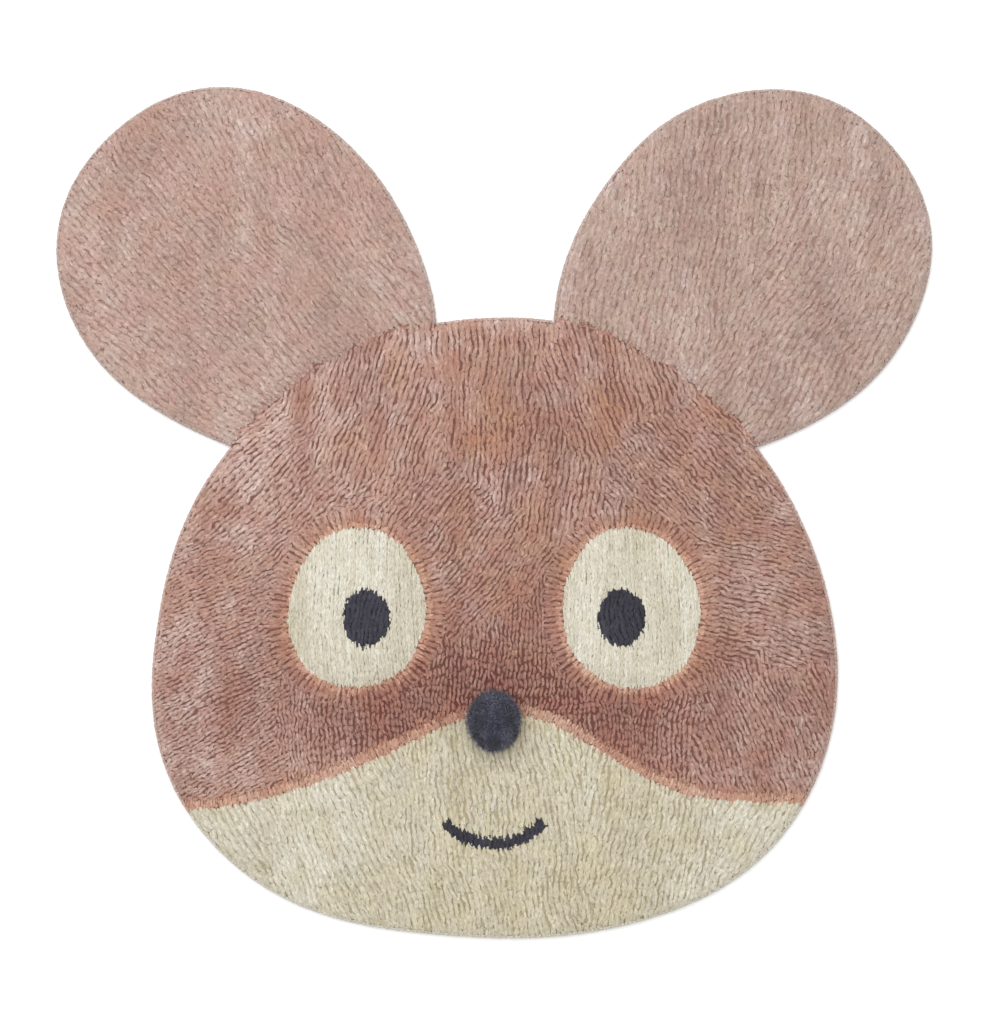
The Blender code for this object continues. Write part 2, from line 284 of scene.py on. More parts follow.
def hexLattice(pitch, loose, seed):
    # even triangular lattice over the whole rug, each point moved by up to `loose` of the pitch
    rng = default_rng(seed)
    reach = max(abs(value) for corner in cadBox for value in corner) + pitch
    columns = np.arange(-reach, reach, pitch)
    rows = np.arange(-reach, reach, pitch * math.sqrt(3) / 2)
    x, y = np.meshgrid(columns, rows)
    x[1::2] += pitch / 2
    places = np.stack([x.ravel(), y.ravel()], 1)
    return places + rng.uniform(-loose, loose, places.shape) * pitch


def addObject(name, points, faces, material, tuft=None, strand=None):
    # a smooth-shaded mesh; tuft and strand are what cutWool reads, one row for each point
    mesh = bpy.data.meshes.new(name)
    points = np.asarray(points, dtype=np.float32).reshape(-1, 3)
    faces = np.asarray(faces, dtype=np.int32)
    sides, faces = faces.shape[-1], faces.ravel()
    mesh.vertices.add(len(points))
    mesh.vertices.foreach_set("co", points.ravel())
    mesh.loops.add(faces.size)
    mesh.loops.foreach_set("vertex_index", faces)
    mesh.polygons.add(faces.size // sides)
    mesh.polygons.foreach_set("loop_start", np.arange(0, faces.size, sides, dtype=np.int32))
    mesh.update(calc_edges=True)
    mesh.polygons.foreach_set("use_smooth", np.full(faces.size // sides, True))
    mesh.materials.append(material)
    if tuft is not None:
        tuft = np.broadcast_to(np.reshape(tuft, (-1, 4)), (len(points), 4)).astype(np.float32)
        mesh.attributes.new("tuft", "FLOAT_COLOR", "POINT").data.foreach_set("color", tuft.ravel())
    if strand is not None:
        strand = np.asarray(strand, dtype=np.float32)
        mesh.attributes.new("strand", "FLOAT_VECTOR", "POINT").data.foreach_set("vector", strand.ravel())
    made = bpy.data.objects.new(name, mesh)
    bpy.context.scene.collection.objects.link(made)
    return made


def addNode(tree, kind, settings=None, links=None):
    # a shader node, its settings (inputs by name or number, or fields of its own) and what feeds its inputs:
    # a socket, or a node for its first output
    node = tree.nodes.new("ShaderNode" + kind)
    for key, value in (settings or {}).items():
        if isinstance(key, str) and hasattr(node, key):
            setattr(node, key, value)
        else:
            node.inputs[key].default_value = value
    for key, source in (links or {}).items():
        tree.links.new(getattr(source, "outputs", (source,))[0], node.inputs[key])
    return node


def newMaterial(name):
    made = bpy.data.materials.new(name)
    made.use_nodes = True
    made.node_tree.nodes.clear()
    return made, made.node_tree


woolLook = {
    "roughness": 0.92, "specular": 0.15,  # scoured wool scatters light widely and has almost no highlight
    "sheen": 0.20, "sheenRoughness": 0.65,  # loose fibre ends catch light at the edges of each lock
    "strandPitch": 2.1 * mm,  # bundles of fibres; single ones are 0.03 mm, too fine to show
    "strandLong": 3.5,  # how many times longer than wide a bundle is
    "strandDepth": 0.9 * mm,
    "heather": 0.24,  # how far the mottle goes either way
    "rootShare": 0.92,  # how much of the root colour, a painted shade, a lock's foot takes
}


def cutWool(name, root, deep, base, light, warm, rosy, look=woolLook):
    # Woollen pile yarn, dyed in the hank, tufted and sheared: matt and softly streaked. "tuft" holds how
    # light (red), warm (green) and rosy (alpha) a lock is, and from 0 at its foot to 1 at its cut end (blue):
    # the lower it is, the more of the root colour it takes, a painted shade down between the locks. "strand"
    # is the place on it along and across its fibres.
    made, tree = newMaterial(name)
    tuft = addNode(tree, "Attribute", {"attribute_name": "tuft"}).outputs
    shares = addNode(tree, "SeparateColor", links={"Color": tuft["Color"]}).outputs
    shades = addNode(tree, "ValToRGB", links={"Fac": shares["Red"]})
    shades.color_ramp.elements[0].color = fromHex(deep)
    shades.color_ramp.elements[1].color = fromHex(light)
    shades.color_ramp.elements.new(0.5).color = fromHex(base)
    dyed = shades
    # towards its foot, and on its shaded corners, a lock takes the root colour: painted shade
    rootShaded = addNode(tree, "MapRange", {"To Min": look["rootShare"], "To Max": 0}, {"Value": shares["Blue"]})
    for hue, share in ((warm, shares["Green"]), (rosy, tuft["Alpha"]), (root, rootShaded)):
        dyed = addNode(tree, "Mix", {"data_type": "RGBA", 7: fromHex(hue)}, {0: share, 6: dyed}).outputs[2]
    place = addNode(tree, "Attribute", {"attribute_name": "strand"}).outputs["Vector"]
    strands = addNode(tree, "TexNoise", {"Scale": 1 / look["strandPitch"], "Detail": 2.0}, {"Vector": place})
    mottle = addNode(
        tree, "MapRange",
        {"From Min": 0.3, "From Max": 0.7, "To Min": 1 - look["heather"], "To Max": 1 + look["heather"]},
        {"Value": strands},
    )
    colour = addNode(tree, "VectorMath", {"operation": "SCALE"}, {0: dyed, "Scale": mottle})
    relief = addNode(tree, "Bump", {"Strength": 1.0, "Distance": look["strandDepth"]}, {"Height": strands})
    surface = addNode(
        tree, "BsdfPrincipled",
        {"Roughness": look["roughness"], "Specular IOR Level": look["specular"],
         "Sheen Weight": look["sheen"], "Sheen Roughness": look["sheenRoughness"]},
        {"Base Color": colour, "Normal": relief},
    )
    addNode(tree, "OutputMaterial", links={"Surface": surface})
    return made


def wovenCotton(name, look):
    # Unbleached cotton canvas in a plain weave, sized with latex: threads over and under, flat and dry.
    made, tree = newMaterial(name)
    place = addNode(tree, "TexCoord").outputs["Object"]
    threads = []
    for way in ("X", "Y"):
        wave = addNode(
            tree, "TexWave",
            {"wave_type": "BANDS", "bands_direction": way, "Scale": math.pi / (10 * look["threadPitch"]),
             "Distortion": 0.6, "Detail": 1.0, "Detail Scale": 2.0},
            {"Vector": place},
        )
        threads.append(wave.outputs["Fac"])
    weave = addNode(tree, "Math", {"operation": "ADD"}, dict(enumerate(threads)))
    halved = addNode(tree, "Math", {"operation": "MULTIPLY", 1: 0.5}, {0: weave})
    shades = addNode(tree, "ValToRGB", links={"Fac": halved})
    shades.color_ramp.elements[0].color = fromHex(look["gap"])
    shades.color_ramp.elements[1].color = fromHex(look["thread"])
    relief = addNode(tree, "Bump", {"Strength": 0.6, "Distance": look["threadDepth"]}, {"Height": weave})
    surface = addNode(
        tree, "BsdfPrincipled", {"Roughness": 0.88, "Specular IOR Level": 0.2},
        {"Base Color": shades, "Normal": relief},
    )
    addNode(tree, "OutputMaterial", links={"Surface": surface})
    return made


woolColours = {  # root (a painted shade deep in the pile), deep, base, light, warm, rosy
    "head": ("#561f17", "#82645a", "#ac8f84", "#cfbcb5", "#a67a5b", "#9e675b"),
    "ear": ("#916a5d", "#8f766c", "#aa938a", "#c4b5ae", "#ab9680", "#ad8277"),
    "cream": ("#93855a", "#a69d84", "#c3bdac", "#dad9d0", "#c0b596", "#bfb8ac"),
    "border": ("#84503c", "#966a5a", "#b6907d", "#caac9b", "#b78a6a", "#b27c69"),
    "dark": ("#18171f", "#18171f", "#2f2e38", "#484752", "#33303a", "#3a3947"),
    "pompom": ("#181822", "#1e1f2a", "#4e4e66", "#8b90aa", "#504d58", "#565264"),
}
woolNames = {
    "head": "head wool, dusky pink, cut pile", "ear": "ear wool, greyish pink, cut pile",
    "cream": "undyed cream wool, cut pile", "border": "border wool, orange pink, cut pile",
    "dark": "navy black wool, cut pile", "pompom": "charcoal wool yarn, wound and trimmed",
}
wools = {name: cutWool(woolNames[name], *colours) for name, colours in woolColours.items()}
groundCloth = {
    "thick": 1.8 * mm, "inset": 5.0 * mm, "step": 12 * mm,
    "threadPitch": 1.8 * mm,  # real canvas has 1.2 mm threads; drawn coarser to show from a step away
    "threadDepth": 0.3 * mm, "thread": "#cfc4ab", "gap": "#8f8268",
    "flatWide": 1.10, "flatTall": 1.07,
}
planMesh = {  # of its step: how loose its points are, how clear of its rim and of a border, and the slack
    "loose": 0.1, "byRim": 0.6, "byBorder": 0.45, "slack": 0.05,
}
lowerPile = {
    "inset": 3.5 * mm, "step": 9 * mm, "under": 1.9 * mm,
    "share": 0.74, "least": 0.4 * mm,  # its height, of the whole pile's, and its least thickness
    # its tuft is dark and mostly root colour: painted shade in the partings that show it
    "tuft": (0.35, 0.1, 0.30, 0.2),
    "darker": (0.06, 0.26),  # how much more painted shade it takes under the head's two zones
}
packedWools = {  # piece: its wool, and the wools of the fields that it lies under
    "packedHead": ("head", ("head", "border")), "packedEars": ("ear", ("ear",)),
    "packedCream": ("cream", ("cream",)), "packedDark": ("dark", ("dark",)),
}


def planOf(step, inset, borders):
    # an even triangle mesh of the rug's plan, this far in from its rim, with points along the field borders
    edge = edgePoints(step, inset)
    clear = inset + planMesh["byRim"] * step
    inner = hexLattice(step, planMesh["loose"], 3)
    inner = inner[depthInRug(inner) > clear]
    kept = []
    for depth, line in borders:
        inner = inner[np.abs(depth(inner)) > planMesh["byBorder"] * step]
        kept.append(line[depthInRug(line) > clear])
    flat = np.concatenate([edge, inner, *kept])
    corners, _, faces, *_ = delaunay_2d_cdt([Vector(place) for place in flat], [], [], 0, 1e-7)
    corners = np.array(corners)
    faces = np.array([face for face in faces if len(face) == 3])
    return corners, faces[depthInRug(corners[faces].mean(1)) > inset - planMesh["slack"] * step]


def fieldBorders(step):
    # for each edge between two wools: how deep a place lies in one, and points along the edge
    borders = [(aboveMuzzle, muzzleLine(step)), (depthInMouth, mouthRing(step))]
    for name in ("head", *eyes, "pupilLeft", "pupilRight"):
        borders.append((partial(depthIn, name), ringOf(name, step)))
    return borders


def slab(name, corners, faces, top, bottom, material, tuft=None):
    # a closed sheet over these faces of the plan, its two sides at the heights given for every corner
    used, faces = np.unique(faces, return_inverse=True)
    corners, top, bottom, faces = corners[used], top[used], bottom[used], faces.reshape(-1, 3)
    sides = np.concatenate([faces[:, [0, 1]], faces[:, [1, 2]], faces[:, [2, 0]]]).tolist()
    back = {(b, a) for a, b in sides}
    rim = np.array([side for side in sides if tuple(side) not in back])
    count = len(corners)
    walls = np.concatenate([
        np.stack([rim[:, 1], rim[:, 0], rim[:, 0] + count], 1),
        np.stack([rim[:, 1], rim[:, 0] + count, rim[:, 1] + count], 1),
    ])
    points = np.concatenate([np.column_stack([corners, top]), np.column_stack([corners, bottom])])
    tuft = None if tuft is None else np.tile(tuft[used], (2, 1))
    return addObject(name, points, np.concatenate([faces, faces[:, ::-1] + count, walls]), material, tuft)


def makeGround():
    # the cloth that the pile is tufted through
    corners, faces = planOf(groundCloth["step"], groundCloth["inset"], ())
    return slab(
        "groundCloth", corners, faces, np.full(len(corners), groundCloth["thick"]), np.zeros(len(corners)),
        wovenCotton("woven cotton ground", groundCloth),
    )


def makePacked():
    # the packed lower half of the pile, in the wool of the field above it
    corners, faces = planOf(lowerPile["step"], lowerPile["inset"], fieldBorders(lowerPile["step"]))
    bottom = np.full(len(corners), lowerPile["under"])
    top = np.maximum(cadTop(corners) * lowerPile["share"], bottom + lowerPile["least"])
    above = np.array([woolOf(field) for field in fieldOf(corners[faces].mean(1))])
    tuft = np.tile(lowerPile["tuft"], (len(corners), 1))
    # more painted shade under the head's two zones
    for zone, darker in zip(zonesOf(corners, fieldOf(corners)), lowerPile["darker"]):
        tuft[:, 2] -= darker * zone
    made = []
    for name, (wool, under) in packedWools.items():
        made.append(slab(name, corners, faces[np.isin(above, under)], top, bottom, wools[wool], tuft))
    return made


pile = {
    "step": 4.1 * mm, "fineStep": 3.8 * mm,  # from lock to lock along a ridge; fine in the eyes and mouth
    "loose": 0.2, "ragged": 0.9 * mm,  # how far off its place, of the step, and off its field's edge
    "longEnd": 1.2, "wideEnd": 0.95,  # half-length and half-width of a cut end, of the step and the row gap
    "dome": 1 * mm,  # how far a cut end rises to its middle
    "foot": 0.62,  # how far down the foot is, of the pile's height
    "sharp": 2.5, "pull": 0.1,  # how quickly a parting opens, and pushes locks aside, of the row gap
    "crown": 1.2 * mm, "tuck": 1.4 * mm,  # how much lower a ridge's sides end, and how much more by a parting
    "slope": 0.60, "openSlope": 0.50,  # how steeply the sides fall, and how much more by a parting
    "shaded": 0.22, "openShaded": 0.34,  # how far they take the root colour, a painted shade down a ridge's sides, and more by a parting
    "endReach": 1.2,  # how near its clump's end a lock is pulled in, in steps
    "endPull": 0.18, "endShort": 0.30,  # how far it is pulled in there, of the step, and how much shorter
    "endTuck": 1.0 * mm, "endSlope": 0.55,  # how much lower and how steep it ends there
    "clumpTwist": math.radians(11),  # how far a clump lies off its ridge's line
    # how full the ridges are and how ruffled the locks, by field; "rows" is for border rows and halos
    "relief": {"head": 0.60, "ear": 0.58, "muzzle": 0.64, "eye": 0.30, "dark": 0.6, "rows": 0.45},
    "loosely": {"head": 0.8, "ear": 0.85, "muzzle": 0.65, "eye": 0.15, "dark": 0.8, "rows": 1.0},
    "leastOpen": 0.25,  # how far partings would open on a field without ridges
    "zoneRelief": (0.20, 0.40), "overOpen": 0.2, "overEnded": 0.3, "overShaded": 1.6,  # more in the two zones of painted shade; overShaded is yet more painted shade
    "under": 0.35 * mm, "uneven": 0.35 * mm, "ridgeUneven": 0.30 * mm,  # how far below the solid's top
    "tilt": 0.15, "twist": math.radians(9),  # how unevenly single locks face
    "low": 0.8 * mm,  # how much lower the border rows are sheared
    "least": 1.9 * mm, "leastLong": 2 * mm,  # where the lowest feet stand; the shortest lock
    "leastHigh": 0.6,  # a cut end's least height, of the solid's
    "start": 3.4 * mm,  # the rim's own rows lie outside this
}
rim = {  # how the solid's pile turns down, and how much calmer its locks are there
    "wide": 17 * mm, "edgeHigh": 4.5 * mm, "high": 15 * mm, "steepest": 0.97, "calm": 0.6, "shadeCalm": 0.7,
}
# Two zones of the head's pile (x, y, half-width, half-height), its upper middle and over the muzzle, with
# painted shade and deeper ridges.
zones = ((0.06, 0.06, 0.28, 0.17), (0.0, -0.24, 0.28, 0.10))

# How the pile lies in each patch: its place (m), the way its ridges run (degrees from +X), how long a parting
# stays open and how wide a ridge is (mm), the share of partings that are open, the locks' lean and a clump's
# length (mm), how often clumps part along a ridge, and how unlike its neighbours' they lie.
brushedColumns = ("x", "y", "run", "long", "wide", "open", "lean", "clump", "split", "uneven")
eyePatch, darkPatch = (60, 5, 0.18, 1.2, 9, 0.2, 0.3), (7, 5.6, 0.4, 1, 8, 0.5, 1)  # all that follows the run
brushed = {
    "earLeft": (
        (-0.44, 0.36, 130, 8, 7.8, 0.4, 2.4, 11, 0.55, 1), (-0.3, 0.46, 118, 9, 7.8, 0.36, 2.6, 14, 0.4, 1),
        (-0.22, 0.28, 128, 10, 7.6, 0.36, 2.6, 16, 0.35, 1),
        (-0.38, 0.22, 140, 9, 7.8, 0.4, 2.2, 11, 0.55, 1),
    ),
    "earRight": (
        (0.44, 0.36, 70, 10, 8, 0.34, 3, 16, 0.3, 1), (0.3, 0.46, 84, 12, 8, 0.34, 3.2, 18, 0.25, 1),
        (0.22, 0.28, 78, 11, 7.8, 0.36, 3.2, 16, 0.3, 1), (0.38, 0.22, 60, 8, 8, 0.4, 2.4, 11, 0.5, 1),
    ),
    "head": (
        (-0.02, 0.19, 91, 30, 6.8, 0.56, 3.4, 24, 0.34, 1), (-0.16, 0.14, 72, 18, 6.4, 0.52, 3, 16, 0.52, 1),
        (-0.28, 0.02, 42, 8, 6.2, 0.52, 3, 9, 0.9, 0.3), (-0.33, -0.16, 24, 7, 5.4, 0.44, 3.2, 8, 1, 0.3),
        (-0.33, -0.3, 32, 7, 5.4, 0.44, 2.8, 8, 1, 0.3), (0.14, 0.14, 104, 20, 6.4, 0.52, 3, 18, 0.5, 1),
        (0.05, 0.05, 84, 16, 6.4, 0.58, 1.8, 14, 0.6, 0.8), (0.24, 0.05, 136, 9, 6, 0.54, 2, 10, 0.8, 0.5),
        (0.33, -0.1, 164, 10, 6, 0.54, 2.6, 10, 0.8, 0.4), (0.33, -0.28, 110, 11, 6, 0.54, 2.8, 11, 0.8, 0.4),
        (-0.03, -0.06, 52, 9, 6, 0.58, 2.2, 9, 0.9, 0.4), (0.02, -0.18, 88, 12, 5.6, 0.6, 2.8, 10, 0.9, 0.4),
        (-0.17, -0.28, 94, 11, 5.6, 0.6, 3, 9, 0.9, 0.4), (0.17, -0.28, 86, 11, 5.6, 0.6, 3, 9, 0.9, 0.4),
    ),
    "muzzle": (
        (0, -0.4, 96, 16, 6.8, 0.46, 3, 16, 0.4, 1), (-0.2, -0.42, 112, 10, 7.2, 0.25, 2.6, 12, 0.35, 0.8),
        (0.2, -0.42, 80, 12, 7, 0.4, 2.6, 14, 0.4, 1), (0, -0.5, 104, 14, 6.8, 0.44, 2.4, 14, 0.4, 1),
        (0.34, -0.4, 66, 8, 8, 0.24, 2.4, 12, 0.25, 1), (-0.34, -0.4, 124, 8, 8, 0.22, 2.4, 12, 0.25, 1),
    ),
    "eyeLeft": ((-0.19, -0.1, 89, *eyePatch), (-0.15, -0.16, 93, *eyePatch)),
    "eyeRight": ((0.19, -0.1, 92, *eyePatch), (0.15, -0.16, 88, *eyePatch)),
    "pupilLeft": ((-0.16, -0.132, 80, *darkPatch),),
    "pupilRight": ((0.16, -0.132, 100, *darkPatch),),
    "mouth": ((0, -0.41, 90, *darkPatch),),
}
rowsBrushed = {"long": 9, "wide": 6.3, "open": 0.50, "lean": 1.6, "clump": 9, "split": 0.5, "uneven": 1}
fineFields = (*eyes, "pupilLeft", "pupilRight", "mouth")
ridgeRows = 3  # rows of locks to a ridge: its two sides and its crest
waves = {  # slow and quick bends of the ridges, and how far a patch's edge wanders
    "far": 7 * mm, "pitch": 70 * mm, "quickFar": 2.1 * mm, "quickPitch": 11 * mm, "inEye": 0.3,
    "patchFar": 26 * mm, "patchPitch": 85 * mm, "patchReach": 0.36,
    "raggedFar": 20 * mm, "raggedPitch": 16 * mm, "clumpFar": 0.5,
}
# What each of these adds to how light, how warm and how rosy a lock is. The darkening by "middle" and "over"
# is painted shade over the head's two zones; their warm and rosy shares are the wool's own hue.
tones = {
    "every": (0.5, 0.12, 0.1), "streaks": (0.18, 0, 0), "patches": (0.12, 0, 0),
    "warmMottle": (0, 0.24, 0), "rosyMottle": (0, 0, 0.24), "middleMottle": (0, 0.45, 0),
    "head": (0.05, 0, 0.1), "rightwards": (-0.22, 0, 0), "middle": (-0.12, 0.275, 0), "over": (-0.48, 0, 0.3),
    "byBorder": (0, 0.50, 0.15), "seam": (-0.12, 0, 0.40), "eye": (0.03, 0, 0), "muzzle": (-0.06, 0, 0),
    "muzzleMiddle": (0, 0.35, 0), "ear": (-0.05, 0, 0), "earLeft": (0, 0, 0.14), "earRight": (0, 0, -0.08),
}
lockTones = {
    "single": (0.09, 0.06, 0.06), "eyeCalm": (0, 0.6, 0.6),  # the spread of single locks, and what eyes lack
    "ridge": 0.12, "clump": 0.07, "crest": 0.15, "crestFrom": 0.4,  # how much lighter these are; the crest's is a painted highlight on a ridge's crest and painted shade on its sides
    "streakPitch": 24 * mm, "streakWays": (1.0, 0.2), "patchPitch": 80 * mm,  # streaks run along the rug
    "warmPitch": 30 * mm, "rosyPitch": 24 * mm, "middlePitch": 45 * mm,
    "muzzleX": 0.05, "muzzleHalfWide": 0.18,
}


def bent(places, share=1.0):
    # the plan with its straight ridges bent as loose pile is
    moved = places
    for seed, far, pitch in ((31, "far", "pitch"), (41, "quickFar", "quickPitch")):
        moved = moved + share * waves[far] * drift(places, waves[pitch], seed)
    return moved


def rowGap(look):
    return look["wide"] * mm / ridgeRows


def gridOf(columns, rows):
    return [grid.ravel() for grid in np.meshgrid(columns, rows)]


def drawn(rng, least, *numbers):
    # a random number for each ridge, or for each clump in it, given to every lock there
    found = rng.uniform(least, 1, [np.ptp(number) + 1 for number in numbers])
    return found[tuple(number - number.min() for number in numbers)]


def partings(along, rowNumber, look, seed):
    # where each lock is on its ridge and in its clump, and how far the partings beside it are open
    long, clump = look["long"] * mm, look["clump"] * mm
    ridge, side = rowNumber // ridgeRows, rowNumber % ridgeRows - 1

    def noise(line, apart, pitch, noiseSeed):
        # smooth unevenness along the ridges, each this far apart from the next
        return softNoise(np.stack([along, line * apart], 1), pitch, noiseSeed)

    opened = noise(ridge + (side > 0), long, long, seed) + 2 * look["open"] - 1
    rng = default_rng(seed + 3)
    spot = along / clump + waves["clumpFar"] * noise(ridge, clump, 2 * clump, seed + 4)
    spot = spot + drawn(rng, 0, ridge) * look["uneven"]
    nearest, number = np.round(spot).astype(int), np.floor(spot).astype(int)
    near = np.clip(1 - np.abs(spot - nearest) * clump / (pile["endReach"] * pile["step"]), 0, 1)
    parted = np.clip((look["split"] - drawn(rng, 0, ridge, nearest)) * pile["sharp"] + 0.5, 0, 1)
    turned = drawn(rng, -1, ridge, number) * pile["clumpTwist"] * look["split"]
    return {
        "side": side, "opened": np.clip(opened * pile["sharp"], 0, 1) * np.abs(side),
        "tone": noise(ridge, long, long, seed + 1), "level": noise(ridge, long, long, seed + 2),
        "ended": near * parted * np.sign(nearest - spot), "clumpTone": drawn(rng, -1, ridge, number),
        "turned": turned, "shifted": (spot - number - 0.5) * clump * np.tan(turned),
        "lean": np.full(len(along), look["lean"] * mm), "gap": np.full(len(along), rowGap(look)),
    }


def scattered(place, run, step, seed, parted):
    # rows of locks, each a little off its place
    place = place + default_rng(seed).uniform(-1, 1, place.shape) * pile["loose"] * step
    return {"place": place, "run": run, "step": np.full(len(place), step), **parted}


def patchRows(field, seed):
    # the rows of locks of one field's brushed patches
    step = pile["fineStep" if field in fineFields else "step"]
    bend = waves["inEye"] if field in eyes else 1.0
    looks = [dict(zip(brushedColumns, row)) for row in brushed[field]]
    middles = np.array([(look["x"], look["y"]) for look in looks])
    found = []
    for number, look in enumerate(looks):
        gap = rowGap(look)
        counts = [round(waves["patchReach"] / size) for size in (step, gap)]
        i, j = gridOf(*[np.arange(-count, count + 1) for count in counts])
        along = (i + 0.5 * (j % 2)) * step
        turn = math.radians(look["run"])
        run = np.array([[math.cos(turn), math.sin(turn)]])
        straight = middles[number] + along[:, None] * run + (j * gap)[:, None] * leftOf(run)
        place = bent(straight, bend)
        wandered = place + waves["patchFar"] * drift(place, waves["patchPitch"], seed + 51)
        wandered = wandered + waves["raggedFar"] * softNoise(place, waves["raggedPitch"], seed + 53)[:, None]
        mine = np.argmin(np.hypot(*(wandered[:, None] - middles).transpose(2, 0, 1)), axis=1) == number
        run = unit(bent(straight + run * mm, bend) - place)
        parted = partings(along, j, look, seed + 60 * number)
        found.append(only(scattered(place, run, step, seed + number, parted), mine))
    return joined(found)


def borderRows(line, outward, wide, seed):
    # rows of locks that run straight out across a border, side by side along its line
    step = pile["step"]
    i, j = gridOf(np.arange(math.ceil(wide / step) + 1), np.arange(len(line)))
    along = (i + 0.5 * (j % 2)) * step
    place = line[j] + outward[j] * along[:, None]
    return scattered(place, outward[j], step, seed, partings(along, j, rowsBrushed, seed + 1))


def seamRows(line, outward, wide, seed):
    # rows of locks that run along a seam's line
    step, gap = pile["step"], rowGap(rowsBrushed)
    i, j = gridOf(np.arange(math.ceil(wide / gap) + 1), np.arange(len(line)))
    run = -leftOf(outward[j])
    place = line[j] + outward[j] * (i * gap)[:, None] + run * (0.5 * (i % 2) * step)[:, None]
    return scattered(place, run, step, seed, partings(j * step, i, rowsBrushed, seed + 1))


def allRows():
    # every source of locks, and the fields that it fills
    found = [(patchRows(field, 100 * number), (field,)) for number, field in enumerate(brushed, 1)]
    gap = rowGap(rowsBrushed)
    for seed, eye in zip((801, 811), eyes):
        line = ringOf(eye, gap)
        rows = borderRows(line, outOf(partial(depthIn, eye), line), borderWide["eye"] + haloWide, seed)
        found.append((rows, (eye + "Rows", eye + "Halo")))
    line = muzzleLine(gap)
    outward = -outOf(aboveMuzzle, line)
    found.append((borderRows(line, outward, borderWide["muzzle"], 821), ("muzzleRows",)))
    line = ringOf("head", pile["step"])
    outward = outOf(partial(depthIn, "head"), line)
    found.append((seamRows(line, outward, borderWide["seam"], 831), ("seamRows",)))
    return found


def shareOf(field, shares):
    # each lock's share by its field; "rows" is for border rows and halos
    rows = np.char.endswith(field, "Rows") | np.char.endswith(field, "Halo")
    found = np.where(rows, shares["rows"], shares["dark"])
    for start in ("head", "ear", "muzzle", "eye"):
        found[np.char.startswith(field, start) & ~rows] = shares[start]
    return found


def zonesOf(place, field):
    # how far each place lies in the head's two zones of painted shade and deeper ridges
    head = onHead(field)
    return [head * np.exp(-(((place - (x, y)) / (wide, tall)) ** 2).sum(1)) for x, y, wide, tall in zones]


def tonesOf(place, field, rng):
    # how light, warm and rosy each lock is
    look, x = lockTones, place[:, 0]
    head, muzzle, inEye = onHead(field), field == "muzzle", np.isin(field, eyes)
    middle, over = zonesOf(place, field)
    out = [-depthIn(eye, place) - borderWide["eye"] for eye in eyes]
    out = np.min([aboveMuzzle(place) - borderWide["muzzle"], *out], axis=0)
    marks = {
        "every": 1.0, "head": head, "rightwards": head * x, "middle": middle, "over": over,
        "byBorder": head * np.exp(-np.maximum(out, 0) / borderWide["fade"]), "seam": field == "seamRows",
        "eye": inEye, "muzzle": muzzle, "ear": np.char.startswith(field, "ear"),
        "muzzleMiddle": muzzle * np.exp(-((x - look["muzzleX"]) / look["muzzleHalfWide"]) ** 2),
        "earLeft": field == "earLeft", "earRight": field == "earRight",
        "streaks": softNoise(place * look["streakWays"], look["streakPitch"], 401),
        "patches": softNoise(place, look["patchPitch"], 402),
        "warmMottle": softNoise(place, look["warmPitch"], 403),
        "rosyMottle": softNoise(place, look["rosyPitch"], 404),
        "middleMottle": middle * softNoise(place, look["middlePitch"], 405),
    }
    ruffled = shareOf(field, pile["loosely"])
    found = []
    for number, (single, calm) in enumerate(zip(look["single"], look["eyeCalm"])):
        tone = sum(adds[number] * marks[mark] for mark, adds in tones.items()) * (1 - calm * inEye)
        found.append(np.clip(tone + single * ruffled * rng.normal(0, 1, len(place)), 0, 1))
    return found


